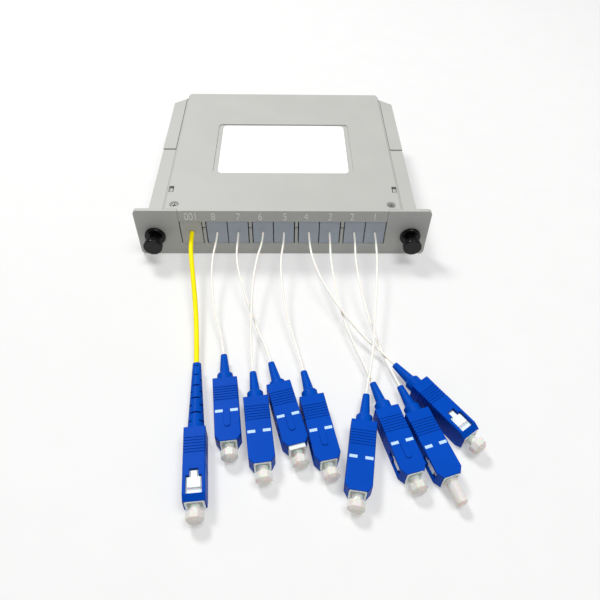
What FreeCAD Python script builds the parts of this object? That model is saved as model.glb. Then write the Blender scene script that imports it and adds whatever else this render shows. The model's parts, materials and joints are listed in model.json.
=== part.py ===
"""Fibre-optic splitter, one input to eight outputs, in a plug-in cassette.

Frame, in millimetres: X to the right along the front panel, Y back into the cassette, Z up.
The origin is on the underside, at mid width, in the plane where the panel's ears seat.
The connectors lie in front of the panel, on the surface that the cassette stands on.
"""
import FreeCAD, Part
import math
import os
import re
import Sketcher

SIZES = {
    # front panel
    "panel_height": 25.0,
    "panel_thickness": 1.8,
    "panel_corner": 2.0,
    "ear_width": 13.4,
    # cassette body behind the panel
    "body_depth": 98.2,
    "wall": 2.0,
    "floor_thickness": 2.0,
    "rear_chamfer_side": 1.2,
    "rear_chamfer_back": 2.5,
    # guide rails along both sides
    "rail_reach": 6.6,
    "rail_seam": 0.6,
    "rail_inset": 10.0,
    "rail_slant": 5.0,
    "rail_thickness": 3.2,
    "rail_foot": 2.2,
    "rail_step_place": 45.5,
    "rail_step": 0.6,
    "rail_core_wall": 1.6,
    "rail_core_depth": 1.4,
    # cover
    "cover_thickness": 2.0,
    "cover_gap": 0.1,
    "cover_tuck": 0.6,
    "cover_bevel_width": 1.1,
    "cover_bevel_drop": 0.5,
    "cover_rim": 1.2,
    "cover_rim_drop": 1.5,
    # row of ports
    "sill_height": 6.3,
    "strip_height": 6.0,
    "port_depth": 6.6,
    "sill_wall": 1.6,
    "input_plug_width": 9.4,
    "plug_width": 8.9,
    "plug_gap": 0.4,
    "plug_top_gap": 0.2,
    "plug_recess": 0.2,
    "plug_round": 0.3,
    "cord_seat": 3.0,
    "cord_clearance": 0.05,
    "output_cord": 0.9,
    "input_cord": 2.0,
    "post_width": 1.3,
    "post_side_gap": 0.45,
    "post_stub": 3.1,
    "post_gap": 0.6,
    # label and its recess
    "label_width": 61.0,
    "label_length": 40.3,
    "label_thickness": 0.15,
    "label_place": 46.35,
    "label_round": 2.0,
    "recess_side": 2.3,
    "recess_end": 0.75,
    "recess_shift": 0.35,
    "recess_depth": 0.4,
    # screws that hold the cover, and their bosses
    "screw_boss_reach": 3.9,
    "screw_boss_edge": 1.8,
    "screw_boss_back": 5.8,
    "screw_boss_drop": 8.0,
    "screw_place_back": 2.8,
    "screw_pilot_depth": 8.0,
    "screw_shank": 1.6,
    "screw_clearance": 0.05,
    "screw_length": 11.0,
    "screw_head": 3.0,
    "screw_head_height": 1.3,
    "screw_cross": 0.6,
    "screw_well_depth": 2.0,
    "screw_well": 3.3,
    "screw_well_bevel": 0.55,
    # snaps that hold the cover
    "snap_inset": 0.5,
    "snap_place_back": 13.6,
    "snap_window_width": 2.2,
    "snap_window_length": 4.2,
    "snap_ledge": 0.4,
    "snap_ledge_depth": 1.0,
    "snap_width": 1.0,
    "snap_length": 2.2,
    "snap_lip": 0.4,
    "snap_drop": 0.6,
    # latch grommets and plungers
    "latch_inset": 7.7,
    "latch_level": 10.8,
    "grommet_barrel": 6.4,
    "grommet_clearance": 0.1,
    "grommet_ease": 0.2,
    "grommet_leg": 4.8,
    "grommet_nose": 5.2,
    "grommet_flange": 9.3,
    "grommet_flange_thickness": 1.5,
    "grommet_round": 0.7,
    "grommet_reach": 6.0,
    "grommet_slit": 0.8,
    "plunger_shaft": 4.2,
    "plunger_clearance": 0.08,
    "plunger_knob": 8.3,
    "plunger_knob_thickness": 2.6,
    "plunger_knob_round": 0.5,
    "plunger_neck": 6.0,
    "plunger_neck_length": 1.2,
    "plunger_travel": 2.6,
    "plunger_stop_gap": 0.1,
    "plunger_tail": 5.0,
    "plunger_tip": 0.8,
    # splitter chip and the coil of spare fibre inside
    "chip_length": 40.0,
    "chip_width": 7.0,
    "chip_height": 4.0,
    "chip_bevel": 0.5,
    "chip_gap": 0.1,
    "clip_wall": 1.2,
    "clip_length": 8.0,
    "clip_spread": 13.0,
    "coil_radius": 32.0,
    "coil_bundle": 3.0,
    "coil_gap": 0.2,
    "hook_wall": 1.4,
    "hook_width": 5.0,
    "hook_reach": 2.6,
    # push-pull connector: the inner housing
    "housing_width": 5.8,
    "housing_height": 6.4,
    "housing_stem": 5.0,
    "housing_start": 5.0,
    "housing_shoulder": 13.1,
    "housing_proud": 0.2,
    "housing_edge": 0.5,
    "mouth_side_wall": 0.6,
    "mouth_top_wall": 0.7,
    "mouth_depth": 8.8,
    "tongue_gap": 0.4,
    "tongue_front_gap": 1.0,
    "tongue_neck": 1.9,
    "tongue_width": 4.2,
    "tongue_height": 0.9,
    # push-pull connector: the outer grip
    "grip_gap": 0.1,
    "grip_side_wall": 1.5,
    "grip_top_wall": 0.4,
    "grip_length": 25.4,
    "grip_travel": 1.2,
    "grip_front_bevel": 1.4,
    "grip_front_bevel_length": 2.1,
    "grip_edge": 0.4,
    "grip_socket_depth": 4.0,
    "grip_socket_gap": 0.2,
    "groove_count": 6,
    "groove_first": 3.9,
    "groove_pitch": 1.05,
    "groove_width": 0.45,
    "groove_depth": 0.2,
    "mark_place": 13.9,
    "mark_inside": 1.25,
    "mark_width": 2.8,
    "mark_length": 1.2,
    "mark_depth": 0.12,
    "key_width": 2.2,
    "key_height": 0.35,
    "key_round": 1.0,
    "key_start": 13.9,
    "key_end": 20.2,
    "window_front_wall": 2.1,
    "window_length": 6.0,
    "window_width": 5.2,
    "window_neck_length": 2.2,
    "window_neck": 3.0,
    # push-pull connector: ferrule and dust caps
    "ferrule_width": 2.5,
    "ferrule_root": 2.8,
    "ferrule_inset": 0.4,
    "ferrule_clearance": 0.06,
    "ferrule_bevel": 0.3,
    "cap_sleeve": 3.4,
    "cap_mouth_gap": 1.2,
    "cap_bore_gap": 0.6,
    "cap_neck": 2.2,
    "cap_head": 5.7,
    "cap_head_length": 3.2,
    "cap_bevel": 1.0,
    "long_cap_round": 0.9,
    "long_cap_gap": 0.15,
    "long_cap_tip": 3.9,
    "long_cap_length": 6.2,
    # push-pull connector: boots
    "boot_plug": 4.6,
    "collar": 5.9,
    "collar_length": 4.2,
    "collar_inside": 1.5,
    "collar_bevel": 0.9,
    "boot_tip": 2.5,
    "boot_root": 3.8,
    "boot_length": 12.5,
    "long_boot_tip": 3.2,
    "long_boot_root": 6.0,
    "long_boot_length": 28.8,
    "slot_pairs": 5,
    "slot_first": 3.4,
    "slot_pitch": 3.4,
    "slot_gather": 0.085,
    "slot_width": 0.6,
    "slot_web": 2.6,
}

doc = FreeCAD.newDocument("fibre_splitter")
sheet = doc.addObject("Spreadsheet::Sheet", "Sizes")
for row, (name, value) in enumerate(SIZES.items(), start=1):
    sheet.set("A%d" % row, name)
    sheet.set("B%d" % row, str(value))
    sheet.setAlias("B%d" % row, name)
doc.recompute()


# ---------------------------------------------------------------- expressions and sketches

def tied(text):
    """An expression in which each size's name points at its cell of the sheet."""
    return re.sub(r"[a-z_]+", lambda word: "Sizes." + word[0] if word[0] in SIZES else word[0], str(text))


def size(text):
    """The present value of an expression of sizes."""
    return float(sheet.evalExpression(tied(text)))


def draw_polygon(sketch, corners):
    """A closed outline whose corners are (across, up) pairs of expressions."""
    spots = [FreeCAD.Vector(size(across), size(up), 0) for across, up in corners]
    first = sketch.GeometryCount
    for start, end in zip(spots, spots[1:] + spots[:1]):
        sketch.addGeometry(Part.LineSegment(start, end), False)
    for i, corner in enumerate(corners):
        before = first + (i - 1) % len(corners)
        sketch.addConstraint(Sketcher.Constraint("Coincident", before, 2, first + i, 1))
        for kind, place in zip(("DistanceX", "DistanceY"), corner):
            number = sketch.addConstraint(Sketcher.Constraint(kind, -1, 1, first + i, 1, size(place)))
            sketch.setExpression("Constraints[%d]" % number, tied(place))


def draw_circle(sketch, across, up, diameter):
    """A circle given by its centre and diameter, all three expressions."""
    centre = FreeCAD.Vector(size(across), size(up), 0)
    circle = sketch.addGeometry(Part.Circle(centre, FreeCAD.Vector(0, 0, 1), size(diameter) / 2), False)
    for kind, place in (("DistanceX", across), ("DistanceY", up)):
        number = sketch.addConstraint(Sketcher.Constraint(kind, -1, 1, circle, 3, size(place)))
        sketch.setExpression("Constraints[%d]" % number, tied(place))
    number = sketch.addConstraint(Sketcher.Constraint("Diameter", circle, size(diameter)))
    sketch.setExpression("Constraints[%d]" % number, tied(diameter))


def rectangle(low_across, high_across, low_up, high_up):
    """The corners of an upright rectangle."""
    return [(low_across, low_up), (high_across, low_up), (high_across, high_up), (low_across, high_up)]


def centred(across, up, width, height):
    """The corners of a rectangle about a centre."""
    return rectangle(
        "%s - (%s) / 2" % (across, width),
        "%s + (%s) / 2" % (across, width),
        "%s - (%s) / 2" % (up, height),
        "%s + (%s) / 2" % (up, height),
    )


def mirrored(corners):
    """The corners mirrored left to right."""
    return [("-(%s)" % across, up) for across, up in reversed(corners)]


def on_both_sides(corners):
    return [corners, mirrored(corners)]


def whole(right_half):
    """A symmetric outline from the corners of its right half, listed from front to back."""
    return right_half + mirrored(right_half)


# ---------------------------------------------------------------- features

def sketch_on(body, plane, name, level, shapes):
    """A sketch on one of the body's own origin planes, moved to a level along the plane's axis."""
    sketch = body.newObject("Sketcher::SketchObject", name + "_sketch")
    support = next(feature for feature in body.Origin.OriginFeatures if feature.Role == plane)
    sketch.AttachmentSupport = [(support, "")]
    sketch.MapMode = "FlatFace"
    along = "-(%s)" if plane == "XZ_Plane" else "%s"
    sketch.setExpression("AttachmentOffset.Base.z", tied(along % level))
    for shape in shapes:
        if shape[0] == "circle":
            draw_circle(sketch, *shape[1:])
        else:
            draw_polygon(sketch, shape)
    return sketch


def pad(body, plane, name, low, high, shapes):
    """Material over the shapes, from low to high along the plane's axis."""
    feature = body.newObject("PartDesign::Pad", name)
    feature.Profile = sketch_on(body, plane, name, low, shapes)
    feature.Reversed = plane == "XZ_Plane"
    feature.setExpression("Length", tied("(%s) - (%s)" % (high, low)))
    return feature


def pocket(body, plane, name, low, high, shapes):
    """A cut over the shapes, from low to high along the plane's axis."""
    feature = body.newObject("PartDesign::Pocket", name)
    feature.Profile = sketch_on(body, plane, name, low, shapes)
    feature.Reversed = plane != "XZ_Plane"
    feature.setExpression("Length", tied("(%s) - (%s)" % (high, low)))
    return feature


def turned(body, name, corners, plane="XY_Plane"):
    """A solid turned from (radius, place) corners, about Y on the XY plane or Z on the XZ plane."""
    feature = body.newObject("PartDesign::Revolution", name)
    feature.Profile = sketch_on(body, plane, name, "0", [corners])
    feature.ReferenceAxis = (feature.Profile[0], ["V_Axis"])
    feature.Angle = 360
    return feature


def dressed(body, kind, name, amount, chosen):
    """A Fillet or Chamfer of those edges of the body so far that chosen accepts."""
    doc.recompute()
    base = body.Tip
    edges = ["Edge%d" % number for number, edge in enumerate(base.Shape.Edges, start=1) if chosen(edge)]
    if not edges:
        raise RuntimeError("no edge found for " + name)
    feature = body.newObject("PartDesign::" + kind, name)
    feature.Base = (base, edges)
    feature.setExpression("Radius" if kind == "Fillet" else "Size", tied(amount))
    return feature


def near(value, text):
    """Whether a coordinate is where an expression puts it."""
    return abs(value - size(text)) < 1e-4


def runs_along(edge, axis):
    """Whether an edge is straight and parallel to the axis x, y or z."""
    return edge.Curve.TypeId == "Part::GeomLine" and abs(abs(getattr(edge.Curve.Direction, axis)) - 1) < 1e-6


def is_circle(edge, place, diameter, axis="z"):
    """Whether an edge is a full circle of that diameter at a place along an axis."""
    return (
        edge.Curve.TypeId == "Part::GeomCircle"
        and near(2 * edge.Curve.Radius, diameter)
        and near(getattr(edge.Curve.Center, axis), place)
    )


# ---------------------------------------------------------------- sub-parts

nodes = []


def new_body(label):
    body = doc.addObject("PartDesign::Body", label)
    body.Label = label
    return body


def clone(label, pattern):
    """A body of its own with the pattern's shape."""
    body = new_body(label)
    body.BaseFeature = pattern
    return body


def move(body, across="0", back="0", up="0"):
    """Places a body at expressions of sizes."""
    for axis, place in zip("xyz", (across, back, up)):
        body.setExpression("Placement.Base." + axis, tied(place))
    return body


def keep(sub_part):
    """Marks a sub-part as a node of its own."""
    nodes.append(sub_part)
    return sub_part


def keep_group(label, members):
    """Like pieces that share one node, as separate solids."""
    together = doc.addObject("Part::Compound", label)
    together.Label = label
    together.Links = members
    return keep(together)


# ---------------------------------------------------------------- ports and posts

PORT_TOP = "(panel_height - strip_height)"
PLUG_TOP = "(panel_height - strip_height - plug_top_gap)"
PORT_LEVEL = "(panel_height - strip_height - plug_top_gap + sill_height) / 2"

PAIR_COUNT = 4
POST_BAY = "(post_width + 2 * post_side_gap)"
PORT_IN_PAIR = "(plug_width + plug_gap)"
PAIR_PITCH = "(2 * plug_width + plug_gap + %s)" % POST_BAY
OPENING_HALF = "((input_plug_width + %d * %s + 2 * plug_gap) / 2)" % (PAIR_COUNT, PAIR_PITCH)
INPUT_PORT = "plug_gap + input_plug_width / 2 - %s" % OPENING_HALF
FIRST_PORT = "plug_gap + input_plug_width + %s + plug_width / 2 - %s" % (POST_BAY, OPENING_HALF)
OUTPUT_PORTS = [
    "%s + %d * %s + %d * %s" % (FIRST_PORT, pair, PAIR_PITCH, side, PORT_IN_PAIR)
    for pair in range(PAIR_COUNT)
    for side in (0, 1)
]
POSTS = [
    "%s - plug_width / 2 - %s / 2 + %d * %s" % (FIRST_PORT, POST_BAY, pair, PAIR_PITCH)
    for pair in range(PAIR_COUNT)
]


def post_outlines():
    """The posts between the groups of ports, in plan."""
    return [
        rectangle("%s - post_width / 2" % post, "%s + post_width / 2" % post, "-panel_thickness", "port_depth")
        for post in POSTS
    ]


# ---------------------------------------------------------------- base: tray, panel and rails

COVER_SEAT = "panel_height - cover_thickness"
WALL_INSIDE = "(%s - plug_gap / 2 + screw_boss_reach)" % OPENING_HALF
BODY_HALF = "(%s + wall)" % WALL_INSIDE
SEAM = "(%s + rail_seam)" % BODY_HALF
RAIL_HALF = "(%s + rail_reach)" % BODY_HALF
RAIL_LENGTH = "(body_depth - rail_inset)"
PANEL_HALF = "(%s + ear_width)" % BODY_HALF
LATCH_PLACE = "(%s - latch_inset)" % PANEL_HALF
SCREW_PLACE = "(%s - screw_boss_reach + screw_boss_edge)" % WALL_INSIDE
BOSS_TOP = "(panel_height - screw_boss_drop)"
SNAP_PLACE = "(%s + snap_inset)" % WALL_INSIDE
INNER_PLACE = "(port_depth + body_depth - wall) / 2"


def screw_boss_outline(front_edge, outer_edge):
    """The right-hand screw boss in plan, against the wall."""
    return rectangle(WALL_INSIDE + " - screw_boss_reach", outer_edge, front_edge, "screw_boss_back")


def screw_holes(diameter):
    return [("circle", side + SCREW_PLACE, "screw_place_back", diameter) for side in ("", "-")]


def body_edge():
    """The right half of the body's outline in plan, from the panel to the rear."""
    return [
        (BODY_HALF, "0"),
        (BODY_HALF, "body_depth - rear_chamfer_back"),
        (BODY_HALF + " - rear_chamfer_side", "body_depth"),
    ]


def wall_outline():
    """The side and rear walls in plan: a U that is open at the panel."""
    inside = [(WALL_INSIDE, "body_depth - wall"), (WALL_INSIDE, "0")]
    return body_edge() + mirrored(body_edge()) + mirrored(inside) + inside


def rail_outline(inner_edge, front_edge):
    """The right-hand rail in plan, with its slanted rear end."""
    slant_at_inner_edge = "(%s - %s) * rail_slant / rail_reach" % (RAIL_HALF, inner_edge)
    return [
        (inner_edge, front_edge),
        (RAIL_HALF, front_edge),
        (RAIL_HALF, RAIL_LENGTH),
        (inner_edge, "%s + %s" % (RAIL_LENGTH, slant_at_inner_edge)),
    ]


def hook_outlines(reach):
    """Four hooks around the coil of spare fibre, in plan, each as deep as reach towards the middle."""
    outer = "coil_radius + coil_bundle / 2 + coil_gap + hook_wall"
    inner = "%s - (%s)" % (outer, reach)
    sideways = rectangle(inner, outer, INNER_PLACE + " - hook_width / 2", INNER_PLACE + " + hook_width / 2")
    half = "hook_width / 2"
    near_hook = rectangle("-" + half, half, "%s - (%s)" % (INNER_PLACE, outer), "%s - (%s)" % (INNER_PLACE, inner))
    far_hook = rectangle("-" + half, half, "%s + %s" % (INNER_PLACE, inner), "%s + %s" % (INNER_PLACE, outer))
    return on_both_sides(sideways) + [near_hook, far_hook]


def make_base():
    base = new_body("base_tray")
    pad(base, "XY_Plane", "tray_floor", "0", "floor_thickness", [whole(body_edge())])
    pad(base, "XY_Plane", "tray_walls", "0", COVER_SEAT, [wall_outline()])

    panel = [
        (PANEL_HALF, "0"),
        (PANEL_HALF, "panel_height"),
        (OPENING_HALF, "panel_height"),
        (OPENING_HALF, "sill_height"),
    ]
    pad(base, "XZ_Plane", "panel", "-panel_thickness", "0", [whole(panel)])
    dressed(
        base,
        "Fillet",
        "panel_corners",
        "panel_corner",
        lambda edge: runs_along(edge, "y") and near(abs(edge.CenterOfMass.x), PANEL_HALF),
    )
    hole = "grommet_barrel + 2 * grommet_clearance"
    latch_holes = [("circle", side + LATCH_PLACE, "latch_level", hole) for side in ("", "-")]
    pocket(base, "XZ_Plane", "latch_holes", "-panel_thickness", "0", latch_holes)

    rail_under = "panel_height - rail_thickness"
    inside_wall = BODY_HALF + " - wall / 2"
    web = rectangle(inside_wall, SEAM + " + rail_core_wall", "0", RAIL_LENGTH)
    pad(base, "XY_Plane", "rail_webs", rail_under, COVER_SEAT, on_both_sides(web))
    pad(base, "XY_Plane", "rails", rail_under, "panel_height - rail_step", on_both_sides(rail_outline(SEAM, "0")))
    raised = rail_outline(SEAM, "rail_step_place")
    pad(base, "XY_Plane", "rails_raised", rail_under, "panel_height", on_both_sides(raised))
    pad(base, "XY_Plane", "rail_feet", "0", "rail_foot", on_both_sides(rail_outline(BODY_HALF, "0")))
    core = rectangle(
        SEAM + " + rail_core_wall",
        RAIL_HALF + " - rail_core_wall",
        "rail_core_wall",
        RAIL_LENGTH + " - rail_core_wall",
    )
    pocket(base, "XY_Plane", "rail_cores", rail_under, rail_under + " + rail_core_depth", on_both_sides(core))

    tuck = rectangle(OPENING_HALF, SEAM, COVER_SEAT, "panel_height")
    pocket(base, "XZ_Plane", "cover_tucks", "-cover_tuck", "0", on_both_sides(tuck))

    rear_sill = rectangle("-(%s)" % WALL_INSIDE, WALL_INSIDE, "port_depth - sill_wall", "port_depth")
    pad(base, "XY_Plane", "rear_sill", "0", "sill_height", [rear_sill])
    pad(base, "XY_Plane", "posts", "0", PORT_TOP + " - post_stub - post_gap", post_outlines())

    boss = screw_boss_outline("0", inside_wall)
    pad(base, "XY_Plane", "screw_bosses", "0", BOSS_TOP, on_both_sides(boss))
    pilots = screw_holes("screw_shank + 2 * screw_clearance")
    pocket(base, "XY_Plane", "screw_pilots", BOSS_TOP + " - screw_pilot_depth", BOSS_TOP, pilots)

    tongue = centred(SNAP_PLACE, "snap_place_back", "snap_width", "snap_length")
    snap_top = "panel_height - snap_drop"
    pad(base, "XY_Plane", "snap_tongues", COVER_SEAT, snap_top, on_both_sides(tongue))
    barb_low = "panel_height - cover_thickness + snap_ledge_depth + cover_gap / 2"
    barb = [
        (SNAP_PLACE, barb_low),
        (SNAP_PLACE + " + snap_width / 2 + snap_lip", barb_low),
        (SNAP_PLACE + " + snap_width / 2", snap_top),
        (SNAP_PLACE, snap_top),
    ]
    snap_front = "snap_place_back - snap_length / 2"
    pad(base, "XZ_Plane", "snap_barbs", snap_front, snap_front + " + snap_length", on_both_sides(barb))

    tab_low = "floor_thickness + coil_bundle + 2 * coil_gap"
    pad(base, "XY_Plane", "coil_hooks", "0", tab_low, hook_outlines("hook_wall"))
    pad(base, "XY_Plane", "coil_tabs", tab_low, tab_low + " + hook_wall", hook_outlines("hook_wall + hook_reach"))
    clips = [
        corners
        for place in (INNER_PLACE + " - clip_spread", INNER_PLACE + " + clip_spread")
        for corners in on_both_sides(
            centred("chip_width / 2 + chip_gap + clip_wall / 2", place, "clip_wall", "clip_length")
        )
    ]
    pad(base, "XY_Plane", "chip_clips", "0", "floor_thickness + chip_height", clips)
    return keep(base)


# ---------------------------------------------------------------- cover

def make_cover():
    cover = new_body("top_cover")
    seam = SEAM + " - cover_gap"
    lip_edge = OPENING_HALF + " - cover_gap"
    tucked = "cover_gap - cover_tuck"
    rail_end = "%s + (%s - %s) * rail_slant / rail_reach" % (RAIL_LENGTH, RAIL_HALF, SEAM)
    plate = [
        (lip_edge, "-panel_thickness"),
        (lip_edge, tucked),
        (seam, tucked),
        (seam, rail_end),
        (BODY_HALF, RAIL_LENGTH + " + rail_slant"),
        (BODY_HALF, "body_depth - rear_chamfer_back"),
        (BODY_HALF + " - rear_chamfer_side", "body_depth"),
    ]
    pad(cover, "XY_Plane", "plate", COVER_SEAT, "panel_height", [whole(plate)])
    bevel = [
        (seam + " - cover_bevel_width", "panel_height"),
        (seam, "panel_height"),
        (seam, "panel_height - cover_bevel_drop"),
    ]
    pocket(cover, "XZ_Plane", "side_bevels", "0", rail_end, on_both_sides(bevel))

    lips = [
        rectangle("-(%s)" % lip_edge, lip_edge, "-panel_thickness", "0"),
        rectangle("-(%s)" % lip_edge, lip_edge, "port_depth - sill_wall", "port_depth"),
    ]
    pad(cover, "XY_Plane", "port_lips", PORT_TOP, COVER_SEAT, lips)
    pad(cover, "XY_Plane", "post_stubs", PORT_TOP + " - post_stub", COVER_SEAT, post_outlines())
    boss = screw_boss_outline("cover_gap", WALL_INSIDE + " - cover_gap")
    pad(cover, "XY_Plane", "screw_bosses_above", BOSS_TOP, COVER_SEAT, on_both_sides(boss))

    rim_outside = WALL_INSIDE + " - cover_gap"
    rim_inside = rim_outside + " - cover_rim"
    rim_rear = "body_depth - wall - cover_gap"
    rim = [
        (rim_inside, "port_depth + cover_rim"),
        (rim_outside, "port_depth + cover_rim"),
        (rim_outside, rim_rear),
    ]
    rim_back = [(rim_inside, rim_rear + " - cover_rim")]
    ring = rim + mirrored(rim) + mirrored(rim_back) + rim_back
    pad(cover, "XY_Plane", "locating_rim", COVER_SEAT + " - cover_rim_drop", COVER_SEAT, [ring])

    recess_width = "label_width + 2 * recess_side"
    recess = centred("0", "label_place + recess_shift", recess_width, "label_length + 2 * recess_end")
    pocket(cover, "XY_Plane", "label_recess", "panel_height - recess_depth", "panel_height", [recess])
    dressed(
        cover,
        "Fillet",
        "recess_corners",
        "label_round",
        lambda edge: runs_along(edge, "z") and near(abs(edge.CenterOfMass.x), "(%s) / 2" % recess_width),
    )
    well_floor = "panel_height - screw_well_depth"
    pocket(cover, "XY_Plane", "screw_wells", well_floor, "panel_height", screw_holes("screw_well"))
    ways = screw_holes("screw_shank + 8 * screw_clearance")
    pocket(cover, "XY_Plane", "screw_ways", BOSS_TOP, well_floor, ways)
    dressed(
        cover,
        "Chamfer",
        "screw_well_mouths",
        "screw_well_bevel",
        lambda edge: is_circle(edge, "panel_height", "screw_well"),
    )

    ledge_top = COVER_SEAT + " + snap_ledge_depth"
    window = centred(SNAP_PLACE, "snap_place_back", "snap_window_width", "snap_window_length")
    pocket(cover, "XY_Plane", "snap_windows", ledge_top, "panel_height", on_both_sides(window))
    way = rectangle(
        SNAP_PLACE + " - snap_window_width / 2",
        SNAP_PLACE + " + snap_window_width / 2 - snap_ledge",
        "snap_place_back - snap_window_length / 2",
        "snap_place_back + snap_window_length / 2",
    )
    pocket(cover, "XY_Plane", "snap_ways", COVER_SEAT + " - cover_rim_drop", ledge_top, on_both_sides(way))
    return keep(cover)


def make_label():
    label = new_body("label")
    low = "panel_height - recess_depth"
    sheet_outline = centred("0", "label_place", "label_width", "label_length")
    pad(label, "XY_Plane", "sticker", low, low + " + label_thickness", [sheet_outline])
    dressed(label, "Fillet", "sticker_corners", "label_round", lambda edge: runs_along(edge, "z"))
    return keep(label)


def make_screws():
    pattern = new_body("screw_pattern")
    seat = "panel_height - screw_well_depth"
    top = seat + " + screw_head_height"
    end = seat + " - screw_length"
    profile = [
        ("0", end),
        ("screw_shank / 4", end),
        ("screw_shank / 2", end + " + screw_shank / 2"),
        ("screw_shank / 2", seat),
        ("screw_head / 2", seat),
        ("screw_head / 2", top),
        ("0", top),
    ]
    turned(pattern, "screw", profile, "XZ_Plane")
    long, short = "0.7 * screw_head", "screw_cross"
    for name, across, back in (("cross_a", long, short), ("cross_b", short, long)):
        pocket(pattern, "XY_Plane", name, top + " - screw_cross", top, [centred("0", "0", across, back)])
    screws = [clone("cover_screw_" + side, pattern) for side in ("left", "right")]
    move(screws[0], "-" + SCREW_PLACE, "screw_place_back")
    move(screws[1], SCREW_PLACE, "screw_place_back")
    keep_group("cover_screws", screws)


# ---------------------------------------------------------------- plugs that close the ports

def make_plug(label, width, cord):
    """A block that fills one port, with a blind seat for the cord in its front face."""
    plug = new_body(label)
    front = "-panel_thickness + plug_recess"
    face = rectangle("-%s / 2" % width, "%s / 2" % width, "sill_height", PLUG_TOP)
    pad(plug, "XZ_Plane", label + "_block", front, "port_depth", [face])
    dressed(plug, "Fillet", label + "_edges", "plug_round", lambda edge: runs_along(edge, "y"))
    seat = ("circle", "0", PORT_LEVEL, "%s + 2 * cord_clearance" % cord)
    pocket(plug, "XZ_Plane", label + "_seat", front, front + " + cord_seat", [seat])
    return plug


# ---------------------------------------------------------------- latches

def make_grommet_pattern():
    grommet = new_body("grommet_pattern")
    bore = "plunger_shaft / 2 + plunger_clearance"
    front = "-panel_thickness - grommet_flange_thickness"
    profile = [
        (bore, front),
        ("grommet_flange / 2", front),
        ("grommet_flange / 2", "-panel_thickness"),
        ("grommet_barrel / 2", "-panel_thickness"),
        ("grommet_barrel / 2", "0"),
        ("grommet_barrel / 2 - grommet_ease", "0"),
        ("grommet_barrel / 2 - grommet_ease", "grommet_leg"),
        ("grommet_nose / 2", "grommet_reach"),
        (bore, "grommet_reach"),
    ]
    turned(grommet, "grommet", profile)
    dressed(
        grommet,
        "Fillet",
        "grommet_front",
        "grommet_round",
        lambda edge: is_circle(edge, front, "grommet_flange", "y"),
    )
    long, short = "1.1 * grommet_barrel", "grommet_slit"
    for name, across, up in (("slit_a", long, short), ("slit_b", short, long)):
        pocket(grommet, "XZ_Plane", name, "0", "grommet_reach", [centred("0", "0", across, up)])
    return grommet


def make_plunger_pattern():
    plunger = new_body("plunger_pattern")
    neck_back = "-panel_thickness - grommet_flange_thickness - plunger_stop_gap - plunger_travel"
    knob_back = neck_back + " - plunger_neck_length"
    knob_front = knob_back + " - plunger_knob_thickness"
    profile = [
        ("0", knob_front),
        ("plunger_knob / 2", knob_front),
        ("plunger_knob / 2", knob_back),
        ("plunger_neck / 2", knob_back),
        ("plunger_neck / 2", neck_back),
        ("plunger_shaft / 2", neck_back),
        ("plunger_shaft / 2", "plunger_tail - plunger_tip"),
        ("plunger_shaft / 2 - plunger_tip", "plunger_tail"),
        ("0", "plunger_tail"),
    ]
    turned(plunger, "plunger", profile)
    for name, place in (("knob_front", knob_front), ("knob_back", knob_back)):
        dressed(
            plunger,
            "Fillet",
            name,
            "plunger_knob_round",
            lambda edge: is_circle(edge, place, "plunger_knob", "y"),
        )
    return plunger


# ---------------------------------------------------------------- inside the cassette

def make_chip():
    chip = new_body("splitter_chip")
    outline = centred("0", INNER_PLACE, "chip_width", "chip_length")
    pad(chip, "XY_Plane", "chip_case", "floor_thickness", "floor_thickness + chip_height", [outline])
    top = "floor_thickness + chip_height"
    dressed(chip, "Chamfer", "chip_edges", "chip_bevel", lambda edge: near(edge.CenterOfMass.z, top))
    return keep(chip)


def make_coil():
    coil = doc.addObject("Part::Torus", "fibre_coil")
    coil.Label = "fibre_coil"
    coil.setExpression("Radius1", tied("coil_radius"))
    coil.setExpression("Radius2", tied("coil_bundle / 2"))
    move(coil, "0", INNER_PLACE, "floor_thickness + coil_gap + coil_bundle / 2")
    return keep(coil)


# ---------------------------------------------------------------- connector mouldings
# Each pattern lies along Y with its front towards -Y, the origin at the middle of the grip's rear
# face at rest, and the key on top.

GRIP_WIDTH = "(housing_width + 2 * grip_gap + 2 * grip_side_wall)"
GRIP_HEIGHT = "(housing_height + 2 * grip_gap + 2 * grip_top_wall)"
WINDOW_END = "(grip_length - window_front_wall)"
WINDOW_START = "(%s - window_length)" % WINDOW_END
NECK_START = "(%s - window_neck_length)" % WINDOW_START
HOUSING_END = "(grip_length + housing_proud)"
MOUTH_WIDTH = "(housing_width - 2 * mouth_side_wall)"
MOUTH_START = "(%s - mouth_depth)" % HOUSING_END
FERRULE_START = "(%s - ferrule_root)" % MOUTH_START
FERRULE_END = "(%s - ferrule_inset)" % HOUSING_END
CAP_START = "(%s + cap_mouth_gap)" % MOUTH_START
CAP_HEAD_START = "(%s + cap_neck)" % HOUSING_END


def t_shape(start, shoulder, end, neck, width):
    """The corners of a T that lies along the connector, its narrow neck at the start."""
    right = [
        ("-" + start, "%s / 2" % neck),
        ("-" + shoulder, "%s / 2" % neck),
        ("-" + shoulder, "%s / 2" % width),
        ("-" + end, "%s / 2" % width),
    ]
    return right + [(along, "-" + across) for along, across in reversed(right)]


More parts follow.
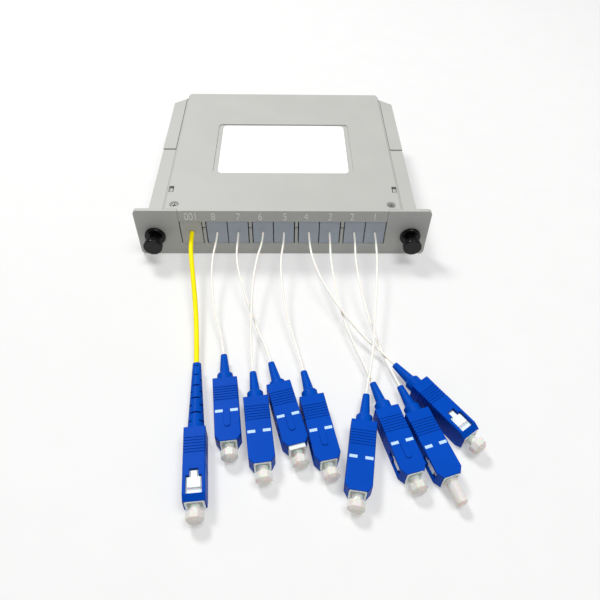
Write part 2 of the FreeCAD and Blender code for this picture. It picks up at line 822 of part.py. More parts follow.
def make_grip_pattern():
    grip = new_body("grip_pattern")
    side = GRIP_WIDTH + " / 2"
    top = GRIP_HEIGHT + " / 2"
    outline = [
        (side, "0"),
        (side, "-grip_length + grip_front_bevel_length"),
        (side + " - grip_front_bevel", "-grip_length"),
    ]
    pad(grip, "XY_Plane", "grip_body", "-" + top, top, [whole(outline)])
    dressed(
        grip,
        "Fillet",
        "grip_edges",
        "grip_edge",
        lambda edge: near(abs(edge.CenterOfMass.z), top) and abs(edge.CenterOfMass.x) > size(side) / 2,
    )
    key = rectangle("-key_width / 2", "key_width / 2", "-key_end", "-key_start")
    pad(grip, "XY_Plane", "key", top + " - grip_top_wall", top + " + key_height", [key])
    dressed(
        grip,
        "Fillet",
        "key_end_round",
        "key_round",
        lambda edge: runs_along(edge, "z") and near(edge.CenterOfMass.y, "-key_end"),
    )

    bore = centred("0", "0", "housing_width + 2 * grip_gap", "housing_height + 2 * grip_gap")
    stem_bore = centred("0", "0", "housing_stem + 2 * grip_gap", "housing_stem + 2 * grip_gap")
    socket = centred("0", "0", "collar + 2 * grip_socket_gap", "collar + 2 * grip_socket_gap")
    step = "-housing_shoulder + grip_gap"
    pocket(grip, "XZ_Plane", "grip_bore", "-grip_length", step, [bore])
    pocket(grip, "XZ_Plane", "stem_bore", step, "-grip_socket_depth", [stem_bore])
    pocket(grip, "XZ_Plane", "collar_socket", "-grip_socket_depth", "0", [socket])

    window = t_shape(NECK_START, WINDOW_START, WINDOW_END, "window_neck", "window_width")
    pocket(grip, "YZ_Plane", "latch_windows", "-" + side, side, [window])

    low_mark, high_mark = "-mark_place - mark_length / 2", "mark_length / 2 - mark_place"
    mark = rectangle("mark_inside", "mark_inside + mark_width", low_mark, high_mark)
    for name, low, high in (
        ("top_marks", top + " - mark_depth", top),
        ("bottom_marks", "-" + top, "mark_depth - " + top),
    ):
        pocket(grip, "XY_Plane", name, low, high, on_both_sides(mark))

    grooves = ["-groove_first - groove_pitch * %d" % number for number in range(SIZES["groove_count"])]
    for name, low, high in (
        ("top_grooves", top + " - groove_depth", top),
        ("bottom_grooves", "-" + top, "groove_depth - " + top),
    ):
        bands = [rectangle("-" + side, side, place + " - groove_width", place) for place in grooves]
        pocket(grip, "XY_Plane", name, low, high, bands)
    for name, low, high in (
        ("right_grooves", side + " - groove_depth", side),
        ("left_grooves", "-" + side, "groove_depth - " + side),
    ):
        bands = [rectangle(place + " - groove_width", place, "-" + top, top) for place in grooves]
        pocket(grip, "YZ_Plane", name, low, high, bands)
    return grip


def make_housing_pattern():
    housing = new_body("housing_pattern")
    stem = centred("0", "0", "housing_stem", "housing_stem")
    front = centred("0", "0", "housing_width", "housing_height")
    pad(housing, "XZ_Plane", "housing_front", "-" + HOUSING_END, "-housing_shoulder", [front])
    dressed(housing, "Fillet", "housing_edges", "housing_edge", lambda edge: runs_along(edge, "y"))
    pad(housing, "XZ_Plane", "housing_stem_part", "-housing_shoulder", "-housing_start", [stem])
    tongue = t_shape(
        "(%s + tongue_gap)" % NECK_START,
        "(%s + tongue_gap)" % WINDOW_START,
        "(%s - grip_travel - tongue_front_gap)" % WINDOW_END,
        "tongue_neck",
        "tongue_width",
    )
    reach = "housing_width / 2 + tongue_height"
    pad(housing, "YZ_Plane", "latch_tongues", "-(%s)" % reach, reach, [tongue])
    mouth = centred("0", "0", MOUTH_WIDTH, "housing_height - 2 * mouth_top_wall")
    pocket(housing, "XZ_Plane", "mouth", "-" + HOUSING_END, "-" + MOUTH_START, [mouth])
    hole = ("circle", "0", "0", "ferrule_width + 2 * ferrule_clearance")
    pocket(housing, "XZ_Plane", "ferrule_hole", "-" + MOUTH_START, "-" + FERRULE_START, [hole])
    return housing


def make_ferrule_pattern():
    ferrule = new_body("ferrule_pattern")
    profile = [
        ("0", "-" + FERRULE_END),
        ("ferrule_width / 2 - ferrule_bevel", "-" + FERRULE_END),
        ("ferrule_width / 2", "ferrule_bevel - " + FERRULE_END),
        ("ferrule_width / 2", "-" + FERRULE_START),
        ("0", "-" + FERRULE_START),
    ]
    turned(ferrule, "ferrule", profile)
    return ferrule


def cap_bore():
    """The profile corners of a cap's blind bore over the ferrule, from its mouth."""
    radius = "ferrule_width / 2 + ferrule_clearance"
    bore_end = "-%s - cap_bore_gap" % FERRULE_END
    return [(radius, "-" + CAP_START), (radius, bore_end), ("0", bore_end)]


def make_cap_pattern():
    """A sleeve with an eight-sided head, bevelled at its front."""
    cap = new_body("cap_pattern")
    sleeve = [
        ("0", "-" + CAP_HEAD_START),
        ("cap_sleeve / 2", "-" + CAP_HEAD_START),
        ("cap_sleeve / 2", "-" + CAP_START),
    ]
    turned(cap, "cap_sleeve", sleeve + cap_bore())
    sides = 8
    corner_reach = 0.5 / math.cos(math.pi / sides)
    angles = [math.pi / sides * (2 * side + 1) for side in range(sides)]
    head = [
        ("cap_head * %f" % (corner_reach * math.cos(angle)), "cap_head * %f" % (corner_reach * math.sin(angle)))
        for angle in angles
    ]
    head_end = "-(%s + cap_head_length)" % CAP_HEAD_START
    pad(cap, "XZ_Plane", "cap_head", head_end, "-" + CAP_HEAD_START, [head])
    dressed(
        cap,
        "Chamfer",
        "cap_nose",
        "cap_bevel",
        lambda edge: near(edge.CenterOfMass.y, head_end),
    )
    return cap


def make_long_cap_pattern():
    cap = new_body("long_cap_pattern")
    nose_place = "-%s - long_cap_length" % CAP_HEAD_START
    sleeve = "%s / 2 - long_cap_gap" % MOUTH_WIDTH
    outside = [
        ("0", nose_place),
        ("long_cap_tip / 2", nose_place),
        (sleeve, "-" + CAP_HEAD_START),
        (sleeve, "-" + CAP_START),
    ]
    turned(cap, "long_cap", outside + cap_bore())
    dressed(
        cap,
        "Fillet",
        "long_cap_nose",
        "long_cap_round",
        lambda edge: is_circle(edge, nose_place, "long_cap_tip", "y"),
    )
    return cap


def boot_inside(cord, length):
    """The profile corners of a boot's parts inside the grip, and of its blind seat for the cord."""
    seat = "%s / 2 + cord_clearance" % cord
    outer = [
        ("collar / 2", "-collar_inside"),
        ("boot_plug / 2", "-collar_inside"),
        ("boot_plug / 2", "-housing_start"),
        ("0", "-housing_start"),
    ]
    bore = [("0", "%s - cord_seat" % length), (seat, "%s - cord_seat" % length), (seat, length)]
    return outer + bore


def make_boot_pattern():
    boot = new_body("boot_pattern")
    outside = [
        ("boot_tip / 2", "boot_length"),
        ("boot_root / 2", "collar_length"),
        ("collar / 2 - collar_bevel", "collar_length"),
        ("collar / 2", "collar_length - collar_bevel"),
    ]
    turned(boot, "boot", outside + boot_inside("output_cord", "boot_length"))
    return boot


def make_long_boot_pattern():
    boot = new_body("long_boot_pattern")
    outside = [
        ("long_boot_tip / 2", "long_boot_length"),
        ("long_boot_root / 2", "grip_gap"),
        ("collar / 2", "grip_gap"),
    ]
    turned(boot, "long_boot", outside + boot_inside("input_cord", "long_boot_length"))
    edge = "long_boot_root / 2"
    for name, plane, offset in (("upright_slots", "YZ_Plane", 0), ("side_slots", "XY_Plane", 1)):
        cuts = []
        for pair in range(SIZES["slot_pairs"]):
            number = 2 * pair + offset
            low = "slot_first - slot_width / 2 + slot_pitch * %d - slot_gather * %d" % (number, number ** 2)
            for inner, outer in (("slot_web / 2", edge), ("-" + edge, "-slot_web / 2")):
                corners = rectangle(inner, outer, low, low + " + slot_width")
                cuts.append(corners if offset else [(up, across) for across, up in corners])
        pocket(boot, plane, name, "-" + edge, edge, cuts)
    return boot


# ---------------------------------------------------------------- where the connectors lie

KEY_UP, KEY_DOWN, KEY_LEFT, KEY_RIGHT = 0, 180, -90, 90
RESTING_HEIGHT = {
    KEY_UP: GRIP_HEIGHT + " / 2",
    KEY_DOWN: GRIP_HEIGHT + " / 2 + key_height",
    KEY_LEFT: GRIP_WIDTH + " / 2",
    KEY_RIGHT: GRIP_WIDTH + " / 2",
}

# name: (port, x and y of the grip's rear face, heading from -Y towards +X in degrees, roll)
CONNECTORS = {
    "input": (INPUT_PORT, -30.0, -96.2, 5.3, KEY_LEFT),
    "output_1": (OUTPUT_PORTS[7], 28.4, -93.5, -9.8, KEY_DOWN),
    "output_2": (OUTPUT_PORTS[6], 47.3, -89.6, 17.9, KEY_DOWN),
    "output_3": (OUTPUT_PORTS[5], 36.8, -88.0, 15.2, KEY_UP),
    "output_4": (OUTPUT_PORTS[4], 49.9, -78.3, 35.5, KEY_RIGHT),
    "output_5": (OUTPUT_PORTS[3], 10.3, -82.9, 11.5, KEY_UP),
    "output_6": (OUTPUT_PORTS[2], -9.8, -83.5, 7.1, KEY_DOWN),
    "output_7": (OUTPUT_PORTS[1], -1.7, -77.5, 14.7, KEY_UP),
    "output_8": (OUTPUT_PORTS[0], -21.4, -75.3, 6.7, KEY_UP),
}
PULLED_BACK = "output_7"
LONG_CAPPED = "output_2"

# The middle of each cord's route, between its straight runs out of the port and into the boot.
# Cords that cross pass over each other with more than a diameter between them.
ROUTES = {
    "input": [(-38.4, -24.0, 10.4), (-35.6, -41.0, 6.8)],
    "output_1": [(40.5, -19.0, 11.7), (38.9, -32.0, 10.4), (37.1, -45.0, 8.9), (35.6, -57.0, 7.5), (33.5, -69.0, 6.1)],
    "output_2": [(31.2, -18.0, 11.2), (32.3, -31.0, 8.8), (34.2, -43.0, 6.2), (36.7, -54.0, 4.3), (39.3, -63.5, 3.2)],
    "output_3": [(20.5, -18.0, 11.2), (21.8, -30.0, 8.9), (23.6, -42.0, 6.2), (26.9, -55.0, 4.3)],
    "output_4": [(12.6, -17.5, 11.6), (16.2, -29.0, 10.2), (21.5, -40.0, 8.6), (27.8, -50.0, 6.8), (33.4, -57.3, 5.2)],
    "output_5": [(-1.2, -18.0, 11.2), (-0.7, -30.0, 9.0), (1.0, -42.0, 6.6), (3.5, -53.0, 4.7)],
    "output_6": [(-11.4, -17.0, 11.8), (-12.6, -29.0, 10.4), (-12.9, -41.0, 8.7), (-12.8, -53.0, 6.3)],
    "output_7": [(-20.3, -17.0, 11.2), (-17.8, -28.5, 8.7), (-13.9, -40.0, 5.9), (-10.0, -51.0, 4.2)],
    "output_8": [(-30.6, -17.0, 11.3), (-30.0, -30.0, 8.6), (-27.9, -43.0, 5.8)],
}
EXIT_RUN = {"input": 10.5, "output": 8.5}
ENTRY_RUN = {"input": 9.0, "output": 7.0, "output_1": 3.5}


def lay(name, body, slide="0"):
    """Lays a connector's piece where that connector lies, slid forward along its axis."""
    port, across, back, heading, roll = CONNECTORS[name]
    forward = math.radians(heading)
    body.Placement = FreeCAD.Placement(
        FreeCAD.Vector(0, 0, 0),
        FreeCAD.Rotation(FreeCAD.Vector(0, 0, 1), heading) * FreeCAD.Rotation(FreeCAD.Vector(0, 1, 0), roll),
    )
    return move(
        body,
        "%f + (%s) * %f" % (across, slide, math.sin(forward)),
        "%f - (%s) * %f" % (back, slide, math.cos(forward)),
        RESTING_HEIGHT[roll],
    )


def ahead_of(name, distance):
    """The point of a connector's axis that far ahead of its grip's rear face."""
    port, across, back, heading, roll = CONNECTORS[name]
    forward = math.radians(heading)
    return FreeCAD.Vector(
        across + distance * math.sin(forward), back - distance * math.cos(forward), size(RESTING_HEIGHT[roll])
    )


def route(name):
    """A cord's points, from its seat in the port's plug to its seat in the boot."""
    kind = name.split("_")[0]
    port, length = CONNECTORS[name][0], "long_boot_length" if kind == "input" else "boot_length"
    level = size(PORT_LEVEL)
    seat = size("cord_seat - panel_thickness + plug_recess")
    start = [FreeCAD.Vector(size(port), back, level) for back in (seat, seat - EXIT_RUN[kind])]
    slide = size("grip_travel") if name == PULLED_BACK else 0
    tip = slide - size(length)
    entry = ENTRY_RUN.get(name, ENTRY_RUN[kind])
    end = [ahead_of(name, distance) for distance in (tip - entry, tip + size("cord_seat"))]
    return start + [FreeCAD.Vector(point) for point in ROUTES[name]] + end


def cord_path(name, points, diameter):
    """Straight runs joined by tangent arcs, each arc as large as 0.45 of its shorter run allows."""
    share = 0.45
    edges = []
    last = points[0]
    radii = []
    for before, corner, after in zip(points, points[1:], points[2:]):
        back, forward = before - corner, after - corner
        reach = share * min(back.Length, forward.Length)
        half_turn = (math.pi - back.getAngle(forward)) / 2
        radii.append(reach / math.tan(half_turn))
        back.normalize()
        forward.normalize()
        start, end = corner + back * reach, corner + forward * reach
        bisector = back + forward
        bisector.normalize()
        sagitta = radii[-1] / math.cos(half_turn) - radii[-1]
        edges.append(Part.LineSegment(last, start).toShape())
        edges.append(Part.Arc(start, corner + bisector * sagitta, end).toShape())
        last = end
    edges.append(Part.LineSegment(last, points[-1]).toShape())
    if min(radii) < 5 * diameter:
        raise RuntimeError("%s bends too tightly: %.1f" % (name, min(radii)))
    return Part.Wire(edges), radii


def make_cord(name):
    """A cord as one plain tube along its route."""
    diameter = size("input_cord" if name == "input" else "output_cord")
    points = route(name)
    path, radii = cord_path(name, points, diameter)
    section = Part.Wire(Part.Circle(points[0], points[1] - points[0], diameter / 2).toShape())
    shape = path.makePipeShell([section], True, False)
    expected = math.pi * diameter ** 2 / 4 * path.Length
    if abs(shape.Volume - expected) > 0.01 * expected:
        raise RuntimeError("%s has volume %.2f, not %.2f" % (name, shape.Volume, expected))
    turns = " ".join("%.0f" % radius for radius in radii)
    print("%s_cord: length %.1f, radii %s" % (name, path.Length, turns))
    print("    points " + " ".join("(%.2f, %.2f, %.2f)" % tuple(point) for point in points))
    cord = doc.addObject("Part::Feature", name + "_cord")
    cord.Label = name + "_cord"
    cord.Shape = shape
    return keep(cord)


# ---------------------------------------------------------------- the whole splitter

def make_cassette():
    make_base()
    make_cover()
    make_label()
    make_screws()
    make_chip()
    make_coil()
    keep(move(make_plug("input_port_plug", "input_plug_width", "input_cord"), INPUT_PORT))
    plug_pattern = make_plug("plug_pattern", "plug_width", "output_cord")
    plugs = [
        move(clone("output_port_plug_%d" % (len(OUTPUT_PORTS) - number), plug_pattern), port)
        for number, port in enumerate(OUTPUT_PORTS)
    ]
    keep_group("output_port_plugs", plugs)
    grommet, plunger = make_grommet_pattern(), make_plunger_pattern()
    for side, place in (("left", "-" + LATCH_PLACE), ("right", LATCH_PLACE)):
        keep(move(clone("latch_grommet_" + side, grommet), place, "0", "latch_level"))
        keep(move(clone("latch_plunger_" + side, plunger), place, "0", "latch_level"))


def make_leads():
    grip, housing, ferrule = make_grip_pattern(), make_housing_pattern(), make_ferrule_pattern()
    cap, long_cap = make_cap_pattern(), make_long_cap_pattern()
    boot, long_boot = make_boot_pattern(), make_long_boot_pattern()
    ferrules = []
    for name in CONNECTORS:
        make_cord(name)
        slide = "grip_travel" if name == PULLED_BACK else "0"
        keep(lay(name, clone(name + "_boot", long_boot if name == "input" else boot), slide))
        keep(lay(name, clone(name + "_grip", grip)))
        keep(lay(name, clone(name + "_housing", housing), slide))
        keep(lay(name, clone(name + "_cap", long_cap if name == LONG_CAPPED else cap), slide))
        ferrules.append(lay(name, clone(name + "_ferrule", ferrule), slide))
    keep_group("ferrules", ferrules)


def check_features():
    """Stops at a feature that failed, a cut that removes nothing or a pad that adds nothing."""
    for thing in doc.Objects:
        if "Invalid" in thing.State or "Error" in thing.State:
            raise RuntimeError("%s failed: %s" % (thing.Label, thing.State))
        sense = {"PartDesign::Pocket": -1, "PartDesign::Pad": 1}.get(thing.TypeId)
        base = getattr(thing, "BaseFeature", None)
        if sense and base and sense * (thing.Shape.Volume - base.Shape.Volume) <= 1e-6:
            raise RuntimeError("%s changes nothing" % thing.Label)


def export():
    os.makedirs("parts", exist_ok=True)
    for sub_part in nodes:
        shape = sub_part.Shape
        if shape.isNull() or not shape.isValid() or not shape.Solids:
            raise RuntimeError("%s is not a valid solid" % sub_part.Label)
        shape.exportStep("parts/%s.step" % sub_part.Label)
        print("%-22s solids %d volume %10.2f" % (sub_part.Label, len(shape.Solids), shape.Volume))


make_cassette()
make_leads()
doc.recompute()
check_features()
export()
print("%d nodes" % len(nodes))
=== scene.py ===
"""Looks of the fibre splitter cassette and its nine leads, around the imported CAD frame."""
import json
import math

import bmesh
import bpy
from mathutils import Matrix, Vector


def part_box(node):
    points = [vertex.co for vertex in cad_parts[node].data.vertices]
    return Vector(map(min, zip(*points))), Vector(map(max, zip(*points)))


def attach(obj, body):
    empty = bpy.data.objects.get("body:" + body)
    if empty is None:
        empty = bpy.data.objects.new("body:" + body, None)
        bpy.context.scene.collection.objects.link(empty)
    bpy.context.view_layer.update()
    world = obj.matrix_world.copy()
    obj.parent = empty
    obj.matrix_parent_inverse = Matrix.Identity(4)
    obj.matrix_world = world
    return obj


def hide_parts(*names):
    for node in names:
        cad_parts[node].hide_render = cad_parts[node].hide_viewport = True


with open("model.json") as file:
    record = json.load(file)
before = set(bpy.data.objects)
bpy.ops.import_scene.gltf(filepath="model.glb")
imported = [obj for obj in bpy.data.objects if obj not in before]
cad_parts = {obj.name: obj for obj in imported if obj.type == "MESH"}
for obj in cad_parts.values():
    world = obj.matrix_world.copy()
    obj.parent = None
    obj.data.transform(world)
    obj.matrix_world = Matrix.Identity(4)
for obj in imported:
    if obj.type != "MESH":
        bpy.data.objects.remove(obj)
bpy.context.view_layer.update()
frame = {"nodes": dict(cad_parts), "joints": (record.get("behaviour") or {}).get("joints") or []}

MM = 0.001
ROOT = "cassette"
OUTPUTS = ["output_%d" % number for number in range(1, 9)]
LEADS = ["input"] + OUTPUTS


# ---------------------------------------------------------------- camera, light and floor

# Lens and sensor in millimetres, place in metres, turns in degrees.
CAMERA_LENS = 33.64
CAMERA_SENSOR = 36.0
CAMERA_PLACE = (0.00119, -0.19133, 0.18032)
CAMERA_HEADING = -2.132
CAMERA_DOWN = 48.308
CAMERA_ROLL = 1.525
# How bright the white world is as a light, and as the camera sees it.
WORLD_LIT = 0.24
WORLD_SEEN = 0.95
LIT_MIDDLE = (0.0, -0.02, 0.0)
FLOOR_REACH = 3.0
FLOOR_DROP = 0.00002

def add_object(name, data):
    thing = bpy.data.objects.new(name, data)
    bpy.context.scene.collection.objects.link(thing)
    return thing


def make_camera():
    """Looks down at the leads from in front of the cassette."""
    lens = bpy.data.cameras.new("camera")
    lens.sensor_width = CAMERA_SENSOR
    lens.lens = CAMERA_LENS
    lens.clip_start = 0.01
    camera = add_object("camera", lens)
    place = Matrix.Translation(CAMERA_PLACE)
    heading = Matrix.Rotation(math.radians(CAMERA_HEADING), 4, "Z")
    tilt = Matrix.Rotation(math.radians(90 - CAMERA_DOWN), 4, "X")
    roll = Matrix.Rotation(math.radians(CAMERA_ROLL), 4, "Z")
    camera.matrix_world = place @ heading @ tilt @ roll
    bpy.context.scene.camera = camera


def make_softbox(name, place, target, width, power):
    """A square area light that faces a point."""
    light = bpy.data.lights.new(name, "AREA")
    light.size = width
    light.energy = power
    lamp = add_object(name, light)
    lamp.location = place
    lamp.rotation_euler = (Vector(target) - Vector(place)).to_track_quat("-Z", "Y").to_euler()


def make_studio():
    """A white world, two softboxes and a pale floor."""
    scene = bpy.context.scene
    scene.view_settings.view_transform = "Standard"
    world = bpy.data.worlds.new("studio")
    world.use_nodes = True
    nodes, links = world.node_tree.nodes, world.node_tree.links
    background = nodes["Background"]
    background.inputs["Color"].default_value = (1.0, 1.0, 1.0, 1.0)
    seen_or_lit = nodes.new("ShaderNodeMapRange")
    seen_or_lit.inputs["To Min"].default_value = WORLD_LIT
    seen_or_lit.inputs["To Max"].default_value = WORLD_SEEN
    path = nodes.new("ShaderNodeLightPath")
    links.new(path.outputs["Is Camera Ray"], seen_or_lit.inputs["Value"])
    links.new(seen_or_lit.outputs["Result"], background.inputs["Strength"])
    scene.world = world
    make_softbox("key", (-0.42, 0.56, 1.0), LIT_MIDDLE, 0.28, 10.5)
    make_softbox("fill", (0.28, -0.14, 1.15), LIT_MIDDLE, 0.5, 8.0)

    floor = bpy.data.meshes.new("floor")
    signs = ((-1, -1), (1, -1), (1, 1), (-1, 1))
    corners = [(x * FLOOR_REACH, y * FLOOR_REACH, 0) for x, y in signs]
    floor.from_pydata(corners, [], [(0, 1, 2, 3)])
    sheet = add_object("floor", floor)
    sheet.location.z = -FLOOR_DROP
    paint = make_plastic(
        "pale_floor",
        (0.45, 0.45, 0.447),
        0.75,
        grain=0.004,
        depth=0.0,
        mottle=0.01,
        Specular_IOR_Level=0.2,
        Emission_Color=(1.0, 1.0, 1.0, 1.0),
        Emission_Strength=0.37,
    )
    floor.materials.append(paint)


# ---------------------------------------------------------------- materials

MOTTLE_SCALE = 60.0
GLOSS_SPREAD = 0.15


def make_plastic(
    name, color, roughness, grain=0.0004, depth=0.00001, mottle=0.04, rounding=0.0, **extra
):
    """A moulding: faint mottling of its colour and gloss, a fine skin, and softly rounded edges."""
    material = bpy.data.materials.new(name)
    material.use_nodes = True
    nodes, links = material.node_tree.nodes, material.node_tree.links
    shader = nodes["Principled BSDF"]
    for socket, value in extra.items():
        shader.inputs[socket.replace("_", " ")].default_value = value
    place = nodes.new("ShaderNodeTexCoord")

    broad = nodes.new("ShaderNodeTexNoise")
    broad.inputs["Scale"].default_value = MOTTLE_SCALE
    broad.inputs["Detail"].default_value = 5.0
    links.new(place.outputs["Object"], broad.inputs["Vector"])
    tint = nodes.new("ShaderNodeValToRGB")
    tint.color_ramp.elements[0].position = 0.35
    tint.color_ramp.elements[1].position = 0.65
    for element, change in zip(tint.color_ramp.elements, (1 - mottle, 1 + mottle)):
        element.color = [min(part * change, 1.0) for part in color] + [1.0]
    links.new(broad.outputs["Fac"], tint.inputs["Fac"])
    links.new(tint.outputs["Color"], shader.inputs["Base Color"])

    gloss = nodes.new("ShaderNodeMapRange")
    gloss.inputs["To Min"].default_value = roughness * (1 - GLOSS_SPREAD)
    gloss.inputs["To Max"].default_value = min(roughness * (1 + GLOSS_SPREAD), 1.0)
    links.new(broad.outputs["Fac"], gloss.inputs["Value"])
    links.new(gloss.outputs["Result"], shader.inputs["Roughness"])

    skin = nodes.new("ShaderNodeTexNoise")
    skin.inputs["Scale"].default_value = 1.0 / grain
    skin.inputs["Detail"].default_value = 2.0
    links.new(place.outputs["Object"], skin.inputs["Vector"])
    bump = nodes.new("ShaderNodeBump")
    bump.inputs["Strength"].default_value = 0.6
    bump.inputs["Distance"].default_value = depth
    links.new(skin.outputs["Fac"], bump.inputs["Height"])
    links.new(bump.outputs["Normal"], shader.inputs["Normal"])
    if rounding:
        edge = nodes.new("ShaderNodeBevel")
        edge.samples = 4
        edge.inputs["Radius"].default_value = rounding
        links.new(edge.outputs["Normal"], bump.inputs["Normal"])
    return material


def make_materials():
    return {
        "grey": make_plastic(
            "grey_abs", (0.42, 0.425, 0.40), 0.55, grain=0.0005, mottle=0.015, rounding=0.0002
        ),
        "grey_blue": make_plastic("grey_blue_abs", (0.33, 0.37, 0.42), 0.5, rounding=0.0003),
        # Painted highlight: the raised digits are a lighter grey than the panel, standing in for
        # their lit edges.
        "numeral": make_plastic("numeral_painted_highlight_grey", (0.74, 0.75, 0.72), 0.5),
        "black": make_plastic(
            "black_nylon", (0.004, 0.004, 0.0045), 0.2, rounding=0.0003, Specular_IOR_Level=0.25
        ),
        "blue": make_plastic(
            "blue_grip", (0.0, 0.058, 0.42), 0.4, rounding=0.00025, Specular_IOR_Level=0.04
        ),
        "boot": make_plastic(
            "blue_boot", (0.0, 0.064, 0.42), 0.45, rounding=0.00015, Specular_IOR_Level=0.04
        ),
        "mark": make_plastic("pale_blue_ink", (0.42, 0.62, 0.95), 0.5),
        "white": make_plastic(
            "white_housing_painted_glow",
            (0.80, 0.80, 0.78),
            0.35,
            rounding=0.00015,
            Subsurface_Weight=0.5,
            Subsurface_Scale=0.003,
            # Painted glow: a faint emission brightens the housing where its mouth lies in shade.
            Emission_Color=(1.0, 1.0, 0.97, 1.0),
            Emission_Strength=0.06,
        ),
        "milky": make_plastic(
            "milky_cap_painted_glow",
            (0.66, 0.67, 0.63),
            0.3,
            rounding=0.0004,
            IOR=1.46,
            Subsurface_Weight=0.8,
            Subsurface_Scale=0.003,
            # Painted glow: a faint emission brightens the caps' shaded front faces.
            Emission_Color=(1.0, 1.0, 0.96, 1.0),
            Emission_Strength=0.03,
        ),
        "ceramic": make_plastic("zirconia", (0.9, 0.88, 0.82), 0.15),
        "paper": make_plastic("label_paper", (0.92, 0.92, 0.92), 0.5, grain=0.0003),
        "steel": make_plastic("zinc_plated_steel", (0.32, 0.32, 0.31), 0.55, Metallic=0.8),
        "tube": make_plastic("splitter_case", (0.7, 0.71, 0.72), 0.3, Metallic=1.0),
        "fibre": make_plastic(
            "white_fibre",
            (0.86, 0.85, 0.78),
            0.4,
            grain=0.001,
            Subsurface_Weight=0.3,
            Subsurface_Scale=0.0005,
        ),
        "yellow": make_plastic(
            "yellow_jacket", (0.93, 0.78, 0.0), 0.45, grain=0.001, Specular_IOR_Level=0.1
        ),
    }


def dress(node, material):
    """Gives a CAD node its finish."""
    for slot in frame["nodes"][node].material_slots:
        slot.material = material


# ---------------------------------------------------------------- where the leads lie

def joint_axis(name):
    return Vector(next(joint["axis"] for joint in frame["joints"] if joint["name"] == name))


def span(node, direction):
    """The least and most of a node's points along a direction."""
    reach = [vertex.co.dot(direction) for vertex in frame["nodes"][node].data.vertices]
    return min(reach), max(reach)


def lead_place(lead):
    """The middle of the rear face of a lead's grip, on its axis, and its forward direction."""
    forward = joint_axis(lead + "_cap_pull").normalized()
    side = forward.cross(Vector((0, 0, 1)))
    low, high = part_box(lead + "_housing")
    level = (low[2] + high[2]) / 2
    across = sum(span(lead + "_grip", side)) / 2
    along = span(lead + "_grip", forward)[0]
    return forward * along + side * across + Vector((0, 0, level)), forward


# ---------------------------------------------------------------- cords

# The cords' routes in millimetres: port, straight run out of it, then the listed middle.
ROUTES = {
    "input": [(-40.8, 1.4, 12.55), (-40.8, -9.1, 12.55), (-38.4, -24.0, 10.4), (-35.6, -41.0, 6.8)],
    "output_1": [
        (41.05, 1.4, 12.55), (41.05, -7.1, 12.55), (40.5, -19.0, 11.7), (38.9, -32.0, 10.4),
        (37.1, -45.0, 8.9), (35.6, -57.0, 7.5), (33.5, -69.0, 6.1),
    ],
    "output_2": [
        (31.75, 1.4, 12.55), (31.75, -7.1, 12.55), (31.2, -18.0, 11.2), (32.3, -31.0, 8.8),
        (34.2, -43.0, 6.2), (36.7, -54.0, 4.3), (39.3, -63.5, 3.2),
    ],
    "output_3": [
        (20.65, 1.4, 12.55), (20.65, -7.1, 12.55), (20.5, -18.0, 11.2), (21.8, -30.0, 8.9),
        (23.6, -42.0, 6.2), (26.9, -55.0, 4.3),
    ],
    "output_4": [
        (11.35, 1.4, 12.55), (11.35, -7.1, 12.55), (12.6, -17.5, 11.6), (16.2, -29.0, 10.2),
        (21.5, -40.0, 8.6), (27.8, -50.0, 6.8), (33.4, -57.3, 5.2),
    ],
    "output_5": [
        (0.25, 1.4, 12.55), (0.25, -7.1, 12.55), (-1.2, -18.0, 11.2), (-0.7, -30.0, 9.0),
        (1.0, -42.0, 6.6), (3.5, -53.0, 4.7),
    ],
    "output_6": [
        (-9.05, 1.4, 12.55), (-9.05, -7.1, 12.55), (-11.4, -17.0, 11.8), (-12.6, -29.0, 10.4),
        (-12.9, -41.0, 8.7), (-12.8, -53.0, 6.3),
    ],
    "output_7": [
        (-20.15, 1.4, 12.55), (-20.15, -7.1, 12.55), (-20.3, -17.0, 11.2), (-17.8, -28.5, 8.7),
        (-13.9, -40.0, 5.9), (-10.0, -51.0, 4.2),
    ],
    "output_8": [
        (-29.45, 1.4, 12.55), (-29.45, -7.1, 12.55), (-30.6, -17.0, 11.3), (-30.0, -30.0, 8.6),
        (-27.9, -43.0, 5.8),
    ],
}
# The straight run into the boot, and how deep the cord is seated in it.
ENTRY_RUN = {"input": 9.0, "output_1": 3.5}
OUTPUT_ENTRY_RUN = 7.0
SEAT = 3.0


def cord_points(lead):
    """A cord's control points in metres, ending in its boot."""
    rear, forward = lead_place(lead)
    tip = span(lead + "_boot", forward)[0] - rear.dot(forward)
    entry = ENTRY_RUN.get(lead, OUTPUT_ENTRY_RUN) * MM
    ends = [rear + forward * (tip - entry), rear + forward * (tip + SEAT * MM)]
    return [Vector(point) * MM for point in ROUTES[lead]] + ends


def make_cord(lead, material):
    diameter = (2.0 if lead == "input" else 0.9) * MM
    points = cord_points(lead)
    curve = bpy.data.curves.new(lead + "_lead", "CURVE")
    curve.dimensions = "3D"
    curve.bevel_depth = diameter / 2
    curve.bevel_resolution = 5
    curve.resolution_u = 16
    curve.use_fill_caps = True
    spline = curve.splines.new("NURBS")
    spline.points.add(len(points) - 1)
    for control, point in zip(spline.points, points):
        control.co = (*point, 1.0)
    spline.order_u = 3
    spline.use_endpoint_u = True
    curve.materials.append(material)
    cord = add_object(lead + "_lead", curve)
    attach(cord, ROOT)
    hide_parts(lead + "_cord")


# ---------------------------------------------------------------- details

def rounded_block(name, size, rounding, matrix, material):
    """A block with rounded edges, placed by a matrix."""
    form = bmesh.new()
    bmesh.ops.create_cube(form, size=1.0, matrix=Matrix.Diagonal((*size, 1.0)))
    edges = form.edges[:]
    bmesh.ops.bevel(form, geom=edges, offset=rounding, segments=2, affect="EDGES", profile=0.5)
    form.transform(matrix)
    mesh = bpy.data.meshes.new(name)
    form.to_mesh(mesh)
    form.free()
    mesh.materials.append(material)
    return mesh


def join(name, meshes):
    """One object from several meshes of one material."""
    form = bmesh.new()
    for mesh in meshes:
        form.from_mesh(mesh)
    whole = bpy.data.meshes.new(name)
    form.to_mesh(whole)
    form.free()
    whole.materials.append(meshes[0].materials[0])
    return add_object(name, whole)


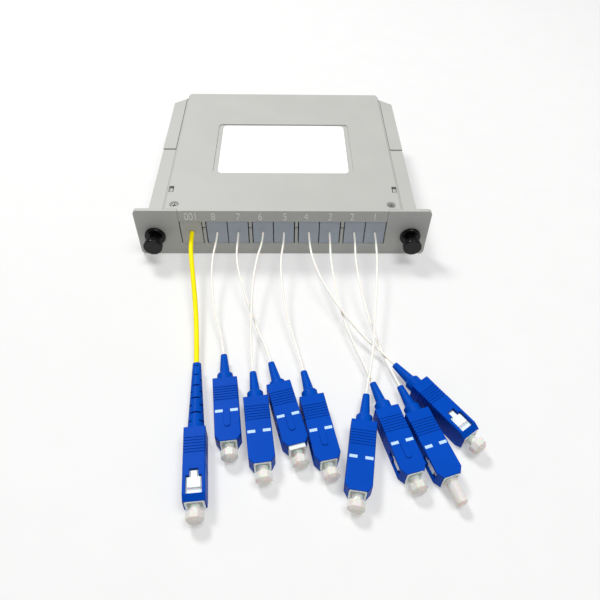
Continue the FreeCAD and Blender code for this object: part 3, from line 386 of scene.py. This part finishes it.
MARK_PLACE = 13.9 * MM
MARK_SIZE = (2.7 * MM, 1.1 * MM, 0.1 * MM)
MARK_MIDDLE = 2.65 * MM
MARK_SUNK = 0.02 * MM
MARK_ROUNDING = 0.02 * MM
# From the connector's axis to a wide face of its grip.
WIDE_FACE = 3.7 * MM
# A grip taller than this lies on its narrow face.
ON_SIDE_HEIGHT = 8.5 * MM


def make_marks(lead, material):
    """The insertion marks, two short bars set in the recesses of each wide face of the grip."""
    rear, forward = lead_place(lead)
    low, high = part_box(lead + "_grip")
    on_side = high[2] - low[2] > ON_SIDE_HEIGHT
    up = Vector((0, 0, 1))
    side = forward.cross(up)
    across, out = (up, side) if on_side else (side, up)
    bars = []
    for facing in (1, -1):
        for place in (1, -1):
            middle = rear + forward * MARK_PLACE + across * place * MARK_MIDDLE
            middle += out * facing * (WIDE_FACE - MARK_SUNK - MARK_SIZE[2] / 2)
            turn = Matrix((across, forward, out)).transposed().to_4x4()
            placed = Matrix.Translation(middle) @ turn
            bars.append(rounded_block(lead + "_bar", MARK_SIZE, MARK_ROUNDING, placed, material))
    marks = join(lead + "_marks", bars)
    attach(marks, lead + "_grip")


# Each number's middle, in millimetres across the panel.
NUMERALS = {
    "001": -40.2, "8": -30.5, "7": -19.7, "6": -10.1, "5": 0.7,
    "4": 9.9, "3": 20.4, "2": 30.0, "1": 40.1,
}
NUMERAL_HEIGHT = 4.0 * MM
NUMERAL_LEVEL = 20.0 * MM
NUMERAL_PROUD = 0.12 * MM
NUMERAL_ROUNDING = 0.05 * MM
NUMERAL_THINNED = 0.06 * MM
NUMERAL_SLIM = 0.7
# The height of a digit as a share of the font's size.
DIGIT_SHARE = 0.7
PANEL_FACE = -1.8 * MM


def make_numerals(material):
    """Port numbers, raised on the strip above the ports."""
    for text, place in NUMERALS.items():
        letters = bpy.data.curves.new("port_number_" + text, "FONT")
        letters.body = text
        letters.align_x = "CENTER"
        letters.size = NUMERAL_HEIGHT / DIGIT_SHARE
        letters.offset = -NUMERAL_THINNED
        letters.extrude = NUMERAL_PROUD
        letters.bevel_depth = NUMERAL_ROUNDING
        letters.materials.append(material)
        number = add_object("port_number_" + text, letters)
        upright = Matrix.Rotation(math.radians(90), 4, "X")
        slim = Matrix.Diagonal((NUMERAL_SLIM, 1.0, 1.0, 1.0))
        stand = Matrix.Translation((place * MM, PANEL_FACE, NUMERAL_LEVEL))
        number.matrix_world = stand @ upright @ slim
        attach(number, ROOT)


# ---------------------------------------------------------------- the whole scene

FINISHES = {
    "base_tray": "grey",
    "top_cover": "grey",
    "input_port_plug": "grey",
    "output_port_plugs": "grey_blue",
    "label": "paper",
    "cover_screws": "steel",
    "splitter_chip": "tube",
    "fibre_coil": "fibre",
    "latch_grommet_left": "black",
    "latch_grommet_right": "black",
    "latch_plunger_left": "black",
    "latch_plunger_right": "black",
    "ferrules": "ceramic",
}
LEAD_FINISHES = {"_boot": "boot", "_grip": "blue", "_housing": "white", "_cap": "milky"}

make_camera()
materials = make_materials()
for lead in LEADS:
    make_cord(lead, materials["yellow" if lead == "input" else "fibre"])
make_studio()
for node, finish in FINISHES.items():
    dress(node, materials[finish])
for lead in LEADS:
    for part, finish in LEAD_FINISHES.items():
        dress(lead + part, materials[finish])
    make_marks(lead, materials["mark"])
make_numerals(materials["numeral"])
